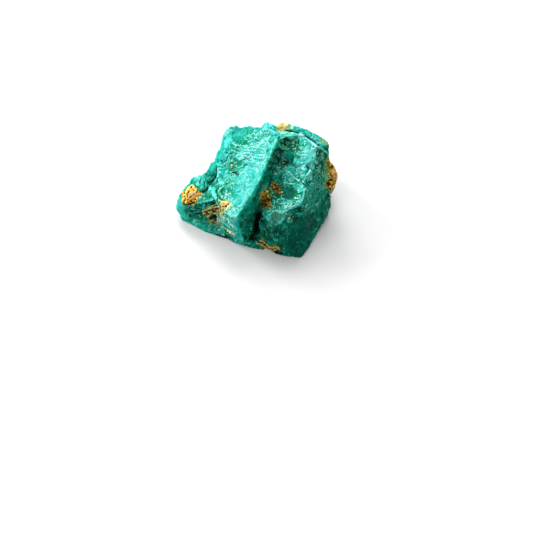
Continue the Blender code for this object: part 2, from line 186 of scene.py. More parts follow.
# Dark cracks and painted shadows: half width, depth, then corners. The near-black of a crack is partly
# painted shade in it, and some lines are painted shadow only.
CRACKS_AND_SHADOWS = (
    # Front.
    (0.55, 0.3, (258.5, 213.5), (257.5, 221), (255, 230)),
    (0.38, 0.3, (255.5, 228), (253.5, 233), (250.5, 239)),
    (0.5, 0.2, (261, 214), (260, 221), (257.5, 230)),
    (0.5, 0.1, (255.5, 214), (258, 217), (262, 214.5), (261.5, 221)),
    # Painted shadow under the foot.
    (0.45, 0.1, (261, 250), (267, 251.3), (273, 252.4), (281, 253)),
    (0.25, 0.05, (217, 234.5), (222, 236.5), (228, 237)),
    (0.36, 0.4, (210.5, 218.5), (213, 216.5), (215.3, 215.5)),
    # Upper layer.
    (0.14, 0.25, (232, 172.5), (235, 172), (237, 174.5)),
    (0.12, 0.2, (231, 175), (233, 176)),
    (0.11, 0.2, (235.5, 173.5), (238, 175), (239, 173)),
    (0.09, 0.1, (245, 164.5), (250, 166), (256, 166)),
    (0.1, 0.15, (226, 152), (230, 154), (232.5, 153)),
    (0.12, 0.2, (240.5, 161), (243, 159.5), (246, 158), (249, 159)),
    (0.12, 0.2, (230, 158.5), (232, 157), (234, 156.3)),
    (0.12, 0.12, (221, 160), (223, 163), (226.5, 160.5), (227.5, 156.5)),
    (0.2, 0.2, (286, 130.5), (293, 131.6), (300, 133.8), (308, 137.3), (314, 141.8), (319, 145.5)),
    # Valley head.
    (0.2, 0.15, (276, 156), (279, 159.5), (278, 163)),
    (0.18, 0.15, (281, 165), (283.5, 161), (287, 162)),
    (0.16, 0.12, (282, 137), (285, 139.5), (284, 143)),
    # Lower layer: painted shade beside the inner ridge, in the notch and under the rim.
    (0.1, 0.12, (302.5, 182.5), (304.5, 185.5), (306, 188.5)),
    (0.1, 0.1, (301, 182), (303, 185), (305, 188)),
    (0.2, 0.12, (306.5, 166.5), (308, 169), (307.5, 171.5)),
    (0.12, 0.1, (287, 212), (291, 210), (296, 208.5), (302, 207)),
    # Left.
    (0.2, 0.3, (216.5, 166), (216.3, 172), (217, 177), (217.5, 182)),
    (0.15, 0.2, (216, 190), (217.5, 195), (217.5, 201)),
    (0.22, 0.4, (215.7, 175.5), (214.5, 178.5), (212.5, 181)),
    (0.18, 0.3, (209, 187.5), (206.5, 190.3), (202.5, 191.7)),
    (0.14, 0.15, (201.5, 177.5), (199.5, 181.5), (199.3, 186)),
    (0.14, 0.18, (206.3, 178), (204.3, 183), (204, 188)),
    (0.2, 0.15, (185, 205), (190, 204), (195, 202.5)),
    (0.16, 0.2, (201, 192), (205, 192), (208, 189)),
)
# Raised lines: half width, height and how pale the crest is, partly chalk and partly painted highlight, then
# corners.
RIBS = (
    # Ridge.
    (0.17, 0.1, 0.75, (281, 134), (279, 137.5), (275, 142), (272, 148), (270.5, 153), (268, 160),
     (265, 166), (262, 171), (260, 177), (258, 184), (254, 190), (250, 197), (247, 201), (244, 206),
     (240, 211), (237.5, 215), (235, 217.3)),
    (0.24, 0.06, 0.9, (235, 217.3), (231, 216.3), (227, 213.5), (225, 211)),
    # Rim of the lower layer.
    (0.24, 0.1, 1.0, (281, 134), (286, 133), (294, 133.3), (300, 135), (305, 137), (309, 140), (313, 143),
     (316, 147)),
    (0.22, 0.06, 0.7, (316, 147), (315.5, 152), (313, 159), (311, 166), (309, 171), (306, 177)),
    (0.17, 0.07, 0.9, (303, 181), (302, 186), (304.5, 192), (303, 200), (298, 204), (292, 206.5),
     (287, 210), (283, 212)),
    (0.2, 0.07, 0.8, (283, 212), (278, 210.5), (272, 211), (267, 211.5)),
    (0.12, 0.06, 0.35, (288, 214), (294, 213.5), (302, 213.7), (309, 213)),
    # Notch.
    (0.17, 0.15, 1.0, (311.5, 165.5), (310.7, 170), (308, 174), (305, 178)),
    (0.13, 0.08, 0.9, (304.5, 165.5), (306.5, 163.5), (309, 163)),
    # Inner ridge and disc.
    (0.16, 0.16, 1.0, (285, 169.5), (290, 173), (294, 177.5), (298, 180), (302, 184), (305, 188.5),
     (304, 194)),
    (0.14, 0.08, 0.7, (284.5, 180), (288, 183.5), (291, 184)),
    (0.13, 0.07, 0.35, (287.5, 152.3), (290, 150.6), (293, 151.2), (295, 153.5), (295, 156)),
    # Small facet.
    (0.13, 0.08, 0.9, (270, 214), (273, 212.3), (278, 211.8), (283, 213.5)),
    (0.13, 0.08, 0.9, (284, 214.5), (283.5, 218.5), (280.5, 222)),
    (0.2, 0.1, 0.5, (283.5, 213.5), (283, 218), (280, 221.5), (276, 225), (271, 225.5)),
    (0.18, 0.06, 0.3, (267, 212), (269.5, 215), (270, 219), (271, 224)),
    (0.12, 0.07, 0.7, (287, 221), (289.5, 217.5), (292, 214.5)),
    (0.12, 0.07, 0.6, (289, 222.5), (291.5, 219), (293.5, 216.5)),
    (0.14, 0.08, 0.35, (284.5, 223), (284, 227), (281.5, 230.5)),
    # Valley.
    (0.14, 0.08, 0.3, (279, 152), (278.5, 156), (276, 159.5), (272, 161), (269, 160)),
    (0.14, 0.08, 0.25, (264.5, 175), (267, 173), (271, 173), (273, 175.5), (271, 178)),
    (0.13, 0.08, 0.8, (283.5, 175), (287, 173.8), (291, 175)),
    (0.14, 0.09, 0.8, (292, 184.5), (295.5, 183.5), (300, 185.5), (304, 189), (303.5, 192), (298, 192.3)),
    # Front middle.
    (0.16, 0.08, 0.3, (271.5, 228), (272, 233), (274, 239), (276, 246)),
    (0.14, 0.07, 0.4, (262, 223), (263.5, 228), (266, 231)),
    (0.16, 0.06, 0.12, (286.5, 226), (287, 234), (287.5, 243)),
    # Left front.
    (0.12, 0.06, 0.3, (196, 211.5), (201, 211.3), (205, 214)),
    (0.12, 0.06, 0.3, (185.5, 217.5), (188.5, 216.7), (191, 218)),
    (0.12, 0.06, 0.3, (193, 217), (196, 219.5), (200, 220.5)),
    (0.12, 0.07, 0.5, (184, 208.5), (190, 206.7), (196, 207)),
    (0.12, 0.07, 0.5, (186, 212.5), (192, 213.5), (197, 212.3)),
    (0.12, 0.07, 0.5, (199, 207.5), (204, 208), (209, 206.5)),
    (0.12, 0.07, 0.4, (188, 210), (193, 209.3), (199, 210.3)),
    (0.18, 0.1, 0.4, (196, 203), (202, 203), (208, 201), (214, 199.5)),
    (0.18, 0.07, 0.15, (184, 217), (191, 221), (199, 225), (207, 228.7), (214, 232.5)),
    # Flake and plate.
    (0.2, 0.22, 0.9, (217, 180.5), (213.5, 184), (210.5, 187), (208.8, 190)),
    (0.2, 0.16, 0.8, (210.5, 188), (212.5, 192), (215.3, 196), (216, 199.5)),
    (0.14, 0.1, 0.8, (216, 199.5), (217.3, 194), (219.5, 189), (224, 186.5)),
    (0.18, 0.12, 0.9, (217.8, 168), (218.6, 173), (217.6, 178), (218.8, 182), (221.5, 184), (224.5, 183)),
    # Left steps.
    (0.16, 0.1, 0.6, (229.5, 146), (230, 151), (227, 155), (224.5, 158)),
    (0.15, 0.09, 0.4, (216, 167), (220, 169), (225, 168), (228.5, 165), (230, 161), (229, 158)),
    (0.14, 0.07, 0.2, (217.5, 164), (221, 165.5), (224.5, 164.5), (226.5, 162)),
    # Waves.
    (0.14, 0.08, 0.9, (231, 150), (237, 152.3), (243, 153.7), (249, 153), (256, 155), (264, 155.5)),
    (0.14, 0.09, 0.8, (236, 156.5), (239.5, 159.5), (244, 158.5), (247, 157), (250, 159.5), (256, 160.5)),
    (0.14, 0.08, 0.7, (234, 162), (235.5, 166), (238, 167.5), (243, 166)),
    (0.14, 0.08, 0.8, (233, 147), (240, 149.5), (248, 150.5), (256, 150.5)),
    (0.13, 0.08, 0.9, (236, 154.7), (243, 156), (250, 156), (258, 157.5), (264, 158.5)),
    (0.14, 0.08, 0.9, (244, 147.5), (252, 146.5), (260, 148), (266, 150)),
    (0.13, 0.07, 0.7, (246, 162), (252, 161.3), (259, 163)),
    (0.13, 0.07, 0.6, (240, 169.3), (247, 168), (254, 169)),
    # Rays of the lower layer.
    (0.13, 0.07, 0.9, (300, 152.5), (304, 151.5), (308, 152)),
    (0.13, 0.07, 0.9, (300, 156), (304.5, 154.7), (308.5, 156)),
    (0.13, 0.07, 0.9, (301.5, 144.5), (304.5, 141.5), (308, 141)),
    (0.13, 0.07, 0.8, (296, 160.5), (300, 163), (304.5, 163)),
    (0.13, 0.07, 0.8, (291, 167), (296, 168.5), (301, 168), (305, 170)),
    (0.13, 0.07, 0.7, (277, 199.5), (283, 199), (289, 200.5)),
    (0.13, 0.07, 0.8, (279, 204), (286, 203), (293, 203.5), (298, 201)),
    # Arcs of the upper layer.
    (0.13, 0.07, 0.9, (240, 173.5), (242.5, 171.3), (246, 173), (247.5, 176)),
    (0.13, 0.06, 0.7, (236, 191), (239.5, 189.7), (243, 191), (242, 194)),
    (0.14, 0.06, 0.8, (254, 133), (256, 137), (260, 141), (266, 143.5)),
    (0.14, 0.06, 0.9, (264, 138), (267, 140), (268.5, 144), (270.5, 148)),
    # Knob.
    (0.18, 0.1, 0.1, (233.5, 131), (231, 134), (230.5, 139), (232, 143)),
    (0.15, 0.08, 0.9, (233, 144.5), (239, 145.5), (245, 146), (250, 145)),
    # Streaked face.
    (0.15, 0.1, 1.0, (220.5, 216.5), (225.5, 223.5), (231, 229)),
    (0.15, 0.1, 1.0, (224, 216), (229, 222), (234, 228)),
    (0.15, 0.09, 1.0, (227.5, 217.3), (232, 223), (236, 229)),
    (0.14, 0.09, 0.8, (219, 221), (223.5, 227.5), (228, 231)),
    (0.13, 0.08, 0.9, (222, 214.5), (228, 220.5), (233.5, 226)),
    (0.14, 0.08, 0.6, (217.5, 223.5), (221, 228), (226, 232.5)),
    (0.14, 0.08, 0.8, (231, 218.5), (234.5, 224), (237, 229.5)),
    # Left lump.
    (0.16, 0.12, 0.4, (199, 176.5), (197, 180), (198, 183)),
    (0.16, 0.12, 0.5, (204.5, 176), (202, 181), (200.5, 186), (201.5, 190)),
    (0.14, 0.12, 0.4, (208, 177), (206, 182), (206.3, 187)),
    # Right band.
    (0.12, 0.07, 0.25, (310, 183.5), (313, 187), (316, 191)),
    (0.12, 0.07, 0.2, (315, 185), (319, 189), (322, 193)),
    (0.12, 0.06, 0.25, (320.5, 171), (323.5, 171), (324, 175), (321, 176.5), (320, 173)),
    (0.16, 0.08, 0.4, (311, 140), (317, 144), (322, 148)),
)
# Straws of limonite: half width, height and how yellow, then corners.
STRAWS = (
    # Patch.
    (0.13, 0.14, 1.0, (219.5, 200.5), (223, 202.5), (227, 202)),
    (0.11, 0.12, 0.9, (217.5, 203), (219.5, 206), (219, 210)),
    (0.12, 0.12, 1.0, (220.5, 214), (223.5, 212.5), (226, 209.5), (228.5, 206.5)),
    (0.1, 0.1, 0.7, (206, 210), (211, 206.5), (215.5, 204.5)),
    (0.1, 0.1, 0.6, (207.5, 216.5), (212, 213.5), (216.5, 212.5)),
    (0.1, 0.1, 0.8, (219.5, 213), (220.5, 217.5), (223, 221.5)),
    (0.16, 0.1, 1.0, (231, 203.5), (228, 207), (226, 209.5)),
    (0.13, 0.14, 1.0, (218, 207), (222, 205.5), (226, 204.5), (229, 202.5)),
    (0.13, 0.12, 0.9, (219, 211), (221.5, 208.5), (225, 207.5)),
    (0.13, 0.12, 0.9, (222, 202), (221.5, 206), (222.5, 210), (222, 213)),
    (0.12, 0.12, 1.0, (225.5, 203), (224.5, 206.5), (224.5, 211)),
    (0.1, 0.1, 0.9, (220, 204), (223.5, 204), (227.5, 206)),
    # Rays of the patch.
    (0.13, 0.12, 0.45, (202.5, 211), (207, 209.5), (212, 208), (218, 206.5)),
    (0.12, 0.1, 0.4, (203.5, 213.5), (209, 212), (214, 211.5), (219, 210)),
    (0.12, 0.1, 0.35, (202.5, 210.5), (205.5, 214.5), (209, 218), (212, 221)),
    (0.12, 0.12, 0.5, (209.5, 219.5), (212, 216.5), (215, 213), (218, 210.5)),
    (0.12, 0.1, 0.6, (218.5, 211), (218, 215), (217.5, 219), (218, 223)),
    (0.1, 0.1, 0.3, (212.5, 210), (211.5, 213), (209, 216)),
    # Pocket.
    (0.12, 0.08, 0.35, (210, 219), (213, 221.5), (216.5, 224)),
    (0.1, 0.08, 0.6, (212, 219), (215.5, 221), (218, 224)),
    (0.13, 0.1, 0.9, (224.5, 228.5), (229, 231.5), (234, 235)),
    (0.12, 0.08, 0.8, (227, 228.5), (231, 231.5), (235.5, 234.5)),
    (0.13, 0.08, 0.8, (219.5, 216), (222, 219), (224.5, 222)),
    (0.1, 0.06, 0.9, (221, 215), (223, 217.5), (226, 220)),
    # Foot.
    (0.13, 0.1, 0.6, (259.5, 240.5), (263, 242), (267, 244), (270, 246.5)),
    (0.13, 0.08, 0.5, (265, 248), (269, 249.5), (274, 250), (278.5, 248.5)),
    (0.1, 0.08, 0.6, (262, 239.5), (264.5, 243), (268, 246)),
    (0.1, 0.09, 1.0, (256.5, 243.3), (261, 244), (264.5, 246.5), (268.5, 250)),
    (0.1, 0.09, 0.8, (270, 246.3), (273, 247.3), (276, 246.5), (279, 248)),
)
# Turquoise bands beside the sharp edges, where light comes through: half width, then corners.
BANDS = (
    # Ridge and rims.
    (0.55, (282, 136), (279, 140), (275.5, 145), (272.6, 150.5), (270.3, 155.5), (267.5, 162.5),
     (265, 169), (262.5, 174), (260.5, 180), (258, 187), (253, 194), (250, 200), (246.5, 205), (243, 210),
     (240, 214), (238, 217)),
    (0.4, (277, 131), (281, 131), (285, 130.5)),
    (0.3, (283, 135), (288, 134.5), (294, 135)),
    (0.28, (314.5, 153), (312.5, 160), (310.5, 168)),
    # Upper layer.
    (0.14, (234, 152), (241, 154.3), (248, 154.6), (256, 153.8)),
    (0.13, (240, 158), (246, 160), (253, 158.7), (260, 159.7)),
    (0.13, (238, 148), (246, 148.8), (254, 148.5)),
    # Front.
    (0.22, (236, 219), (238, 224), (238.5, 231), (239, 238)),
    (0.12, (222.5, 218), (227, 223.7), (232.5, 229)),
    (0.12, (226, 217.3), (230.5, 222.5), (235, 228.7)),
    (0.3, (183, 218.5), (190, 223), (199, 227), (208, 231)),
)
# Broken faces of the stone: x, y, tone (0 dark to 1 pale) and how chalky the face is. The tone is partly
# the stone's own and partly painted light and shade: faces turned from the lamps, such as the wall under the
# ridge, the valley, the front and the foot, are painted darker, and a few faces that the lamps leave dark,
# at the valley head and the far rim, are painted paler.
FACES = (
    # Upper layer and what lies behind it.
    (236, 200, 0.8, 0.25), (233, 211, 0.88, 0.5), (248, 172, 1.0, 0.34), (256, 178, 0.9, 0.35),
    (237, 164, 0.3, 0.3), (252, 150, 0.8, 0.55), (226, 166, 0.72, 0.35), (222, 188, 0.36, 0.2),
    (225, 194, 0.78, 0.6), (262, 138, 0.72, 0.45), (247, 196, 1.2, 0.4), (262, 162, 0.96, 0.45),
    (234, 165, 0.54, 0.35), (317, 135, 0.5, 0.3), (242, 158, 0.9, 0.5), (305, 131, 0.64, 0.4),
    (284, 130, 1.6, 0.4),
    # Knob, left steps and flake.
    (240, 134, 0.66, 0.02), (242, 143, 0.38, 0.25), (226, 138, 0.74, 0.3), (220, 156, 0.66, 0.0),
    (212, 168, 0.5, 0.0), (220, 177, 0.84, 0.3), (219, 197, 0.12, 0.2), (213, 190, 0.7, 0.1),
    # Wall of the upper layer and the ridge's end.
    (255, 194, 0.22, 0.0), (266, 172, 0.3, 0.0), (246, 212, 0.48, 0.0), (246, 224, 0.42, 0.05),
    (239, 236, 0.82, 0.1), (238, 226, 0.68, 0.1),
    # Valley head.
    (284, 142, 0.5, 0.05), (295, 148, 0.0, 0.1), (281, 154, 0.98, 0.1), (274, 162, 0.84, 0.1),
    (280, 137, 1.6, 0.2), (280, 159, 1.15, 0.05), (289, 160, 0.95, 0.1), (287, 137, 0.0, 0.05),
    (300, 149, 0.2, 0.4), (300, 138, 1.0, 0.5), (297, 143, 0.1, 0.1), (293, 156, 0.18, 0.1),
    (285, 164.5, 0.0, 0.1),
    # Valley.
    (270, 184, 0.0, 0.0), (272, 196, 0.0, 0.1), (285, 196, 0.0, 0.2), (265, 190, 0.9, 0.0),
    (289, 190, 0.26, 0.05), (284, 180, 0.32, 0.3),
    # Lower layer.
    (308, 164, 1.65, 0.4), (307, 178, 1.36, 0.35), (270, 206, 0.52, 0.5), (309, 156, 0.98, 0.42),
    (308, 139, 1.36, 0.5), (305, 152, 0.92, 0.52), (290, 175, 0.94, 0.35), (301, 172, 0.76, 0.35),
    (296, 187, 0.22, 0.35), (287, 206, 0.72, 0.5), (300, 202, 1.14, 0.4), (276, 218, 0.32, 0.2),
    # Right band, right knot and corner.
    (326, 192, 0.76, 0.3), (328, 196, 0.04, 0.3), (325, 149, 0.1, 0.3), (309, 208, 0.48, 0.4),
    (320, 172, 0.32, 0.42), (310, 182, 0.52, 0.42), (322, 154, 0.14, 0.38), (316, 200, 0.4, 0.42),
    (322, 142, 0.86, 0.5),
    # Front right, front middle and crack.
    (299, 214, 0.0, 0.02), (279, 236, 0.0, 0.05), (259, 224, 0.0, 0.05), (252, 232, 0.04, 0.02),
    (313, 236, 0.3, 0.0), (252, 219, 0.1, 0.05), (291, 231, 0.34, 0.0), (308, 226, 0.06, 0.0),
    (300, 235, 0.06, 0.0), (292, 249, 0.06, 0.02), (306, 218, 0.0, 0.0), (322, 212, 0.32, 0.05),
    (267, 232, 0.06, 0.12), (256, 238, 0.0, 0.0),
    # Foot.
    (265, 240, 0.24, 0.05), (281, 242, 0.36, 0.05), (275, 249, 0.3, 0.0), (281, 246, 0.18, 0.05),
    (246, 241, 0.12, 0.1),
    # Left front, left ledge, left edge and left lump.
    (185, 217, 0.8, 0.05), (228, 236, 0.08, 0.2), (219, 219, 0.9, 0.6), (208, 206, 0.0, 0.05),
    (190, 215, 0.1, 0.05), (203, 209, 0.36, 0.1), (195, 213, 0.22, 0.05), (211, 205, 0.0, 0.05),
    (195, 224, 0.78, 0.3), (222, 230, 0.72, 0.5), (229, 223, 0.74, 0.6), (204, 198, 0.36, 0.3),
    (203, 183, 0.5, 0.2), (180, 208, 1.0, 0.1), (185, 195, 0.5, 0.1),
)
# Faces that the frame doesn't show, along the layers and across them: tone and chalk, and how little they
# weigh beside the faces above. A face that looks another way counts as this many millimetres further off.
HIDDEN_ALONG = np.array((0.7, 0.6))
HIDDEN_ACROSS = np.array((0.4, 0.15))
HIDDEN_WEIGHT = 1.0 / 30.0**2
TURN_MM = 6.0

# Spots of each kind: how ragged their margin is, and the seed of its noise.
SPOTS = {
    "ochre": (OCHRE, 0.45, 11), "moss": (MOSS, 0.6, 12), "bloom": (BLOOM, 0.5, 13),
    "turquoise": (TURQUOISE, 0.3, 14), "pinkish": (PINKISH, 0.3, 15), "calm": (CALM, 0.3, 17),
    "grain": ({"cream": GRAINS}, 0.1, 16),
}
# Spots on the sides that the frame doesn't show: how many, their radii and the seed that places them.
FAR_SPOTS = {"ochre": (6, 0.7, 1.7, 21), "bloom": (16, 0.8, 2.4, 22), "turquoise": (12, 0.5, 1.2, 23)}
FAR_MOSS = 1.35
# The share of the nearest spots, kept under a name, and the share away from all of them.
SHARES = {"yellow": (OCHRE, 0.34), "pale": (TURQUOISE, 0.35), "fresh": (MOSS, 0.15)}
SHARE_REACH = 3.0
SHARE_ROUNDS = 6

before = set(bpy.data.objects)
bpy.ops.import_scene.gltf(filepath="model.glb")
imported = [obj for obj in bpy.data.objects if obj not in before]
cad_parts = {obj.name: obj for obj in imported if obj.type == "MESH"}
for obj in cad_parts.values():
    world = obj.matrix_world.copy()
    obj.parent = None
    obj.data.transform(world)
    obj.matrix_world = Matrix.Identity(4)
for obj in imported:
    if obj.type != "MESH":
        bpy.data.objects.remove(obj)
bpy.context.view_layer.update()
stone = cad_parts["chrysocolla_stone"]


# ---- noise on arrays of points

def scrambled(cells, seed):
    """Three steady pseudo-random numbers from 0 to 1 for each whole-number cell."""
    x, y, z = (cells[..., k].astype(np.int64) for k in range(3))
    mixed = (x * 73856093) ^ (y * 19349663) ^ (z * 83492791) ^ (seed * 2654435761)
    numbers = []
    for turn in range(3):
        mixed = (mixed ^ (mixed >> 15)) * 2246822519 & 0xFFFFFFFF
        mixed = (mixed ^ (mixed >> 13)) * 3266489917 & 0xFFFFFFFF
        mixed = (mixed ^ (mixed >> 16)) & 0xFFFFFFFF
        numbers.append(mixed / 0xFFFFFFFF)
    return np.stack(numbers, axis=-1)


def smoothstep(low, high, values):
    t = np.clip((values - low) / (high - low), 0.0, 1.0)
    return t * t * (3.0 - 2.0 * t)


def smooth_noise(points, size, seed):
    """Gradient noise, about -1 to 1, with lumps of the given size."""
    places = points / size
    corner = np.floor(places)
    part = places - corner
    weight = part * part * part * (part * (part * 6.0 - 15.0) + 10.0)
    total = np.zeros(len(points))
    for step in np.ndindex(2, 2, 2):
        slope = scrambled(corner + step, seed) * 2.0 - 1.0
        share = np.prod(np.where(step, weight, 1.0 - weight), axis=1)
        total += share * np.sum(slope * (part - step), axis=1)
    return total * 1.7


def cells_of(points, size, seed):
    """Nearest cell: how far its middle is in cells, the offset from it, and the cell's own numbers."""
    places = points / size
    corner = np.floor(places)
    nearest = np.full(len(points), np.inf)
    offset = np.zeros((len(points), 3))
    numbers = np.zeros((len(points), 3))
    for step in np.ndindex(3, 3, 3):
        cell = corner + step - 1.0
        away = places - (cell + scrambled(cell, seed))
        distance = np.linalg.norm(away, axis=1)
        closer = distance < nearest
        nearest[closer] = distance[closer]
        offset[closer] = away[closer] * size
        numbers[closer] = scrambled(cell[closer], seed + 1)
    return nearest, offset, numbers


# ---- the dense surface

def placed(name, data, location=(0.0, 0.0, 0.0), rotation=(0.0, 0.0, 0.0)):
    """A new object in the scene."""
    thing = bpy.data.objects.new(name, data)
    thing.location = location
    thing.rotation_euler = rotation
    bpy.context.scene.collection.objects.link(thing)
    return thing


def dense_copy(source):
    """The stone's solid as an even mesh of small quads."""
    mesh = source.data.copy()
    mesh.materials.clear()
    piece = placed("stone_surface", mesh)
    piece.modifiers.new("weld", "WELD").merge_threshold = 1e-6
    remesh = piece.modifiers.new("remesh", "REMESH")
    remesh.mode = "VOXEL"
    remesh.voxel_size = VOXEL_MM * MM
    graph = bpy.context.evaluated_depsgraph_get()
    dense = bpy.data.meshes.new_from_object(piece.evaluated_get(graph))
    piece.modifiers.clear()
    piece.data = dense
    return piece


class Surface:
    """The dense mesh as arrays, in millimetres, with a dictionary of masks: one number for each point."""

    def __init__(self, mesh):
        self.mesh = mesh
        self.count = len(mesh.vertices)
        self.masks = {}
        self.points = self.read(mesh.vertices, "co", 3, float) / MM
        edges = self.read(mesh.edges, "vertices", 2, np.int64)
        self.ends = np.concatenate([edges[:, 0], edges[:, 1]])
        self.others = np.concatenate([edges[:, 1], edges[:, 0]])
        self.neighbours = np.maximum(np.bincount(self.ends, minlength=self.count), 1)
        mesh.calc_loop_triangles()
        self.triangles = self.read(mesh.loop_triangles, "vertices", 3, np.int64)

    @staticmethod
    def read(items, name, width, kind):
        values = np.empty(len(items) * width, dtype=kind)
        items.foreach_get(name, values)
        return values.reshape(-1, width)

    def blurred(self, values, rounds):
        """Each round takes the mean of a point's neighbours, and its own value, half and half."""
        columns = values.reshape(self.count, -1).copy()
        for turn in range(rounds):
            for k in range(columns.shape[1]):
                around = np.bincount(self.ends, weights=columns[self.others, k], minlength=self.count)
                columns[:, k] = 0.5 * columns[:, k] + 0.5 * around / self.neighbours
        return columns.reshape(values.shape)

    def normals(self, points):
        a, b, c = (points[self.triangles[:, k]] for k in range(3))
        faces = np.cross(b - a, c - a)
        total = np.zeros((self.count, 3))
        for k in range(3):
            for axis in range(3):
                total[:, axis] += np.bincount(self.triangles[:, k], faces[:, axis], self.count)
        return total / np.maximum(np.linalg.norm(total, axis=1, keepdims=True), 1e-12)

    def away(self, place):
        """Distance of every point from a place."""
        return np.linalg.norm(self.points - place, axis=1)

    def near(self, places, reach, core, rim):
        """1 near the places and 0 away from them; core and rim are fractions of the reach."""
        nearest = np.minimum.reduce([self.away(place) for place in places])
        return 1.0 - smoothstep(core, rim, nearest / reach)

    def cover(self, name, values):
        """Raises a mask to the values wherever they are higher."""
        self.masks[name] = np.maximum(self.masks.get(name, np.zeros(self.count)), values)

    def write_back(self):
        self.mesh.vertices.foreach_set("co", (self.points * MM).ravel())
        self.mesh.update()
        for name, values in self.masks.items():
            attribute = self.mesh.attributes.new(name, "FLOAT", "POINT")
            attribute.data.foreach_set("value", values.astype(np.float32))


# ---- places seen in the frame

class Sight:
    """Lays places of the camera's frame on the stone."""

    def __init__(self, source):
        self.tree = BVHTree.FromObject(source, bpy.context.evaluated_depsgraph_get())
        self.turn = Euler((CAMERA_TILT, 0.0, 0.0)).to_matrix()
        self.focal = FRAME_PIXELS * LENS_MM / SENSOR_MM

    def on_stone(self, x, y):
        half = FRAME_PIXELS / 2.0
        ray = self.turn @ Vector(((x - half) / self.focal, (half - y) / self.focal, -1.0))
        hit = self.tree.ray_cast(Vector(CAMERA_AT), ray.normalized())[0]
        return None if hit is None else np.array(hit) / MM

    def spots(self, group):
        """Centres and radii of a group's spots; a share that the group starts with is left out."""
        return [(self.on_stone(*spot[:2]), spot[2]) for spot in group if isinstance(spot, tuple)]

    def line(self, corners, spacing=0.6):
        """Points of the stone along a line drawn in the frame, a fraction of a pixel apart."""
        found = []
        for (x0, y0), (x1, y1) in zip(corners, corners[1:]):
            steps = max(1, round(math.hypot(x1 - x0, y1 - y0) / spacing))
            for t in (k / steps for k in range(steps + 1)):
                found.append(self.on_stone(x0 + (x1 - x0) * t, y0 + (y1 - y0) * t))
        return [place for place in found if place is not None]


def spot_share(skin, spots, ragged, seed, core=0.75, rim=1.25):
    """1 inside the spots, 0 away from them, with a ragged margin."""
    wobble = smooth_noise(skin.points, 0.9, seed) + 0.6 * smooth_noise(skin.points, 0.4, seed + 5)
    nearest = np.minimum.reduce([skin.away(centre) / radius for centre, radius in spots])
    return 1.0 - smoothstep(core, rim, nearest + ragged * wobble)


def far_spots(skin, broad, count, smallest, largest, seed):
    """Centres and radii of spots on the sides that the frame doesn't show."""
    hidden = np.nonzero((broad @ TOWARDS_CAMERA < -0.1) & (skin.points[:, 2] > 1.0))[0]
    draws = np.random.default_rng(seed)
    chosen = draws.choice(hidden, size=count, replace=False)
    return [(skin.points[k], draws.uniform(smallest, largest)) for k in chosen]


def nearest_share(skin, sight, groups, elsewhere):
    """The share of the nearest spot's group at every point, and another away from all of them."""
    shares = np.full(skin.count, elsewhere)
    nearest = np.full(skin.count, SHARE_REACH)
    for group in groups.values():
        for centre, radius in sight.spots(group):
            away = skin.away(centre) / radius
            shares[away < nearest] = group[0]
            nearest = np.minimum(nearest, away)
    return skin.blurred(shares, SHARE_ROUNDS)


def add_spots(skin, sight, broad, hidden):
    """Masks of the spots: those seen in the frame, and more on the hidden sides."""
    for name, (groups, ragged, seed) in SPOTS.items():
        spots = [spot for group in groups.values() for spot in sight.spots(group)]
        skin.cover(name, spot_share(skin, spots, ragged, seed))
    far = {name: far_spots(skin, broad, *values) for name, values in FAR_SPOTS.items()}
    far["moss"] = [(centre, radius * FAR_MOSS) for centre, radius in far["ochre"]]
    for name, spots in far.items():
        skin.cover(name, hidden * spot_share(skin, spots, 0.5, 31, 0.6, 1.3))
    skin.masks["moss"] *= 1.0 - skin.masks["ochre"]
    for name, (groups, elsewhere) in SHARES.items():
        skin.masks[name] = nearest_share(skin, sight, groups, elsewhere)


def add_lines(skin, sight):
    """Masks of the cracks and painted shadows, pits, ribs, bands and straws; returns how far they raise each
    point.
    """
    for name in ("sink", "rise", "straw", "reed"):
        skin.cover(name, 0.0)
    for half_width, depth, *corners in CRACKS_AND_SHADOWS:
        drawn = [skin.points[np.argmin(skin.away(place))] for place in sight.line(corners)]
        inside = skin.near(drawn, half_width, 0.4, 1.5)
        skin.cover("dark", inside)
        skin.cover("sink", inside * depth)
    for x, y, radius, depth in PITS:
        inside = skin.near([sight.on_stone(x, y)], radius, 0.4, 1.3)
        skin.cover("dark", inside)
        skin.cover("sink", inside * depth)
    # Crests of the ribs are painted pale, partly as chalk and partly as painted highlight.
    for half_width, height, chalk, *corners in RIBS:
        inside = skin.near(sight.line(corners), half_width, 0.2, 1.5)
        skin.cover("rise", inside * height)
        skin.cover("crest_highlight", inside * chalk)
    for half_width, *corners in BANDS:
        skin.cover("band", skin.near(sight.line(corners), half_width, 0.3, 1.4))
    for half_width, height, yellow, *corners in STRAWS:
        inside = skin.near(sight.line(corners), half_width, 0.3, 1.5)
        skin.masks["reed"][inside > skin.masks["straw"]] = yellow
        skin.cover("rise", inside * height)
        skin.cover("straw", inside)
    return skin.masks.pop("rise") - skin.masks.pop("sink")


def face_values(skin, sight, broad, facing):
    """Tone and chalk at every point, taken from the nearest faces by place and by which way they look; the
    tone carries painted light and shade besides the stone's own tone.
    """
    along = smoothstep(0.75, 0.95, facing)[:, None]
    weight = np.full((skin.count, 1), HIDDEN_WEIGHT)
    total = weight * (HIDDEN_ACROSS + (HIDDEN_ALONG - HIDDEN_ACROSS) * along)
    for x, y, tone, chalk in FACES:
        away = skin.away(sight.on_stone(x, y))
        turn = np.linalg.norm(broad - broad[np.argmin(away)], axis=1)
        share = 1.0 / (away**2 + (TURN_MM * turn) ** 2 + 0.5)[:, None] ** 2
        weight += share
        total += share * (tone, chalk)
    return (total / weight).T


# ---- shaping

def bulges(skin, sight):
    """Swellings and hollows, in millimetres."""
    height = np.zeros(skin.count)
    for x, y, radius, swell in BULGES:
        height += swell * np.exp(-((skin.away(sight.on_stone(x, y)) / radius) ** 2))
    return height


